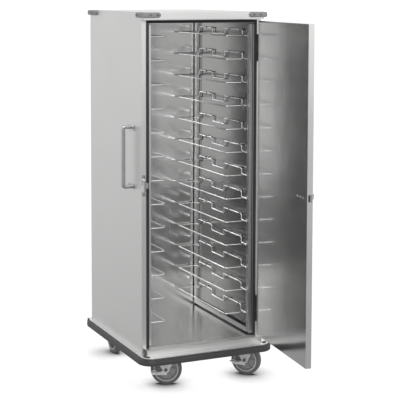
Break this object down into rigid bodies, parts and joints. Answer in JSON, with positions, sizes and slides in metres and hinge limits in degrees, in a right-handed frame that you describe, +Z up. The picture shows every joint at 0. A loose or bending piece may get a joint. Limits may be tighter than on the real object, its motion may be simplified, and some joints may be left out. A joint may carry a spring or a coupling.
{
  "type": "insulated food carrier",
  "caption": "Tall insulated stainless food carrier on casters, with a bumpered deck, one side-hinged magnetic-latch door and wire slides for sheet pans.",
  "frame": {"origin": "on the floor under the centre of the cabinet body (half way between its sides and between its jambs and back)", "axes": "+Z up, the door side faces -Y, +X to the right seen from the door side"},
  "size_m": [0.726, 1.365, 1.796],
  "materials": {
    "satin_stainless": "satin",
    "bright_stainless": "polished",
    "rack_steel": "satin",
    "slide_wire": "polished",
    "insulation": "matte",
    "gasket_rubber": "satin",
    "pad_rubber": "matte",
    "screw_steel": "satin",
    "base_steel": "satin",
    "track_aluminium": "satin",
    "bumper_rubber": "matte",
    "handle_chrome": "polished",
    "hinge_black": "satin",
    "caster_zinc": "satin",
    "wheel_core": "satin",
    "wheel_tread": "matte"
  },
  "bodies": {
    "cabinet": {"left_outer_panel": "satin_stainless", "right_outer_panel": "satin_stainless", "back_outer_panel": "satin_stainless", "top_cap": "satin_stainless", "left_liner": "bright_stainless", "right_liner": "bright_stainless", "back_liner": "bright_stainless", "ceiling_liner": "bright_stainless", "floor_pan": "bright_stainless", "insulation": "insulation", "left_jamb": "satin_stainless", "right_jamb": "satin_stainless", "header": "satin_stainless", "sill": "satin_stainless", "gasket": "gasket_rubber", "corner_bumpers": "pad_rubber", "corner_bumper_screws": "screw_steel", "deck_plate": "bright_stainless", "base_rails": "base_steel", "bumper_track": "track_aluminium", "bumper_rubber": "bumper_rubber", "front_posts": "rack_steel", "rear_posts": "rack_steel", "post_foot_rails": "rack_steel", "right_ledges": "slide_wire", "left_ledges": "slide_wire", "right_guards": "slide_wire", "left_guards": "slide_wire", "left_handle": "handle_chrome", "right_handle": "handle_chrome", "fitting_screws": "screw_steel", "strike": "handle_chrome", "hinge_jamb_leaves": "hinge_black", "hinge_pins": "screw_steel", "caster_bolts": "screw_steel", "front_caster_plates": "caster_zinc", "rear_axles": "screw_steel", "rear_left_fork": "caster_zinc", "rear_right_fork": "caster_zinc"},
    "door": {"door_outer_skin": "satin_stainless", "door_inner_skin": "bright_stainless", "door_insulation": "insulation", "hinge_door_leaves": "hinge_black", "latch_base": "handle_chrome", "latch_screws": "screw_steel"},
    "latch_handle": {"latch_lever": "handle_chrome"},
    "front_left_swivel_fork": {"front_left_fork": "caster_zinc", "front_left_axle": "screw_steel"},
    "front_left_brake": {"front_left_pedal": "caster_zinc"},
    "front_left_wheel": {"front_left_tyre": "wheel_tread", "front_left_core": "wheel_core"},
    "front_right_swivel_fork": {"front_right_fork": "caster_zinc", "front_right_axle": "screw_steel"},
    "front_right_brake": {"front_right_pedal": "caster_zinc"},
    "front_right_wheel": {"front_right_tyre": "wheel_tread", "front_right_core": "wheel_core"},
    "rear_left_wheel": {"rear_left_tyre": "wheel_tread", "rear_left_core": "wheel_core"},
    "rear_right_wheel": {"rear_right_tyre": "wheel_tread", "rear_right_core": "wheel_core"}
  },
  "joints": [
    {"name": "door_hinge", "type": "hinge", "parent": "cabinet", "child": "door", "pos_m": [0.3025, -0.382, 0.985], "axis": [0, 0, 1], "range_deg": [-84.5, 160.5]},
    {"name": "latch_pull", "type": "hinge", "parent": "door", "child": "latch_handle", "pos_m": [0.27124, -0.87879, 0.985], "axis": [0, 0, 1], "range_deg": [0, 30], "stiffness_Nm_per_rad": 0.3, "springref_deg": -11.46},
    {"name": "front_left_swivel", "type": "hinge", "parent": "cabinet", "child": "front_left_swivel_fork", "pos_m": [-0.219, -0.257, 0.16], "axis": [0, 0, 1], "continuous": true},
    {"name": "front_left_wheel_spin", "type": "hinge", "parent": "front_left_swivel_fork", "child": "front_left_wheel", "pos_m": [-0.15841, -0.28787, 0.076], "axis": [0.454, 0.891, 0], "continuous": true},
    {"name": "front_left_brake_pedal", "type": "hinge", "parent": "front_left_swivel_fork", "child": "front_left_brake", "pos_m": [-0.15841, -0.28787, 0.076], "axis": [0.454, 0.891, 0], "range_deg": [0, 18]},
    {"name": "front_right_swivel", "type": "hinge", "parent": "cabinet", "child": "front_right_swivel_fork", "pos_m": [0.219, -0.257, 0.16], "axis": [0, 0, 1], "continuous": true},
    {"name": "front_right_wheel_spin", "type": "hinge", "parent": "front_right_swivel_fork", "child": "front_right_wheel", "pos_m": [0.26361, -0.30832, 0.076], "axis": [0.7547, 0.6561, 0], "continuous": true},
    {"name": "front_right_brake_pedal", "type": "hinge", "parent": "front_right_swivel_fork", "child": "front_right_brake", "pos_m": [0.26361, -0.30832, 0.076], "axis": [0.7547, 0.6561, 0], "range_deg": [0, 18]},
    {"name": "rear_left_wheel_spin", "type": "hinge", "parent": "cabinet", "child": "rear_left_wheel", "pos_m": [-0.202, 0.304, 0.076], "axis": [1, 0, 0], "continuous": true},
    {"name": "rear_right_wheel_spin", "type": "hinge", "parent": "cabinet", "child": "rear_right_wheel", "pos_m": [0.202, 0.304, 0.076], "axis": [1, 0, 0], "continuous": true}
  ]
}
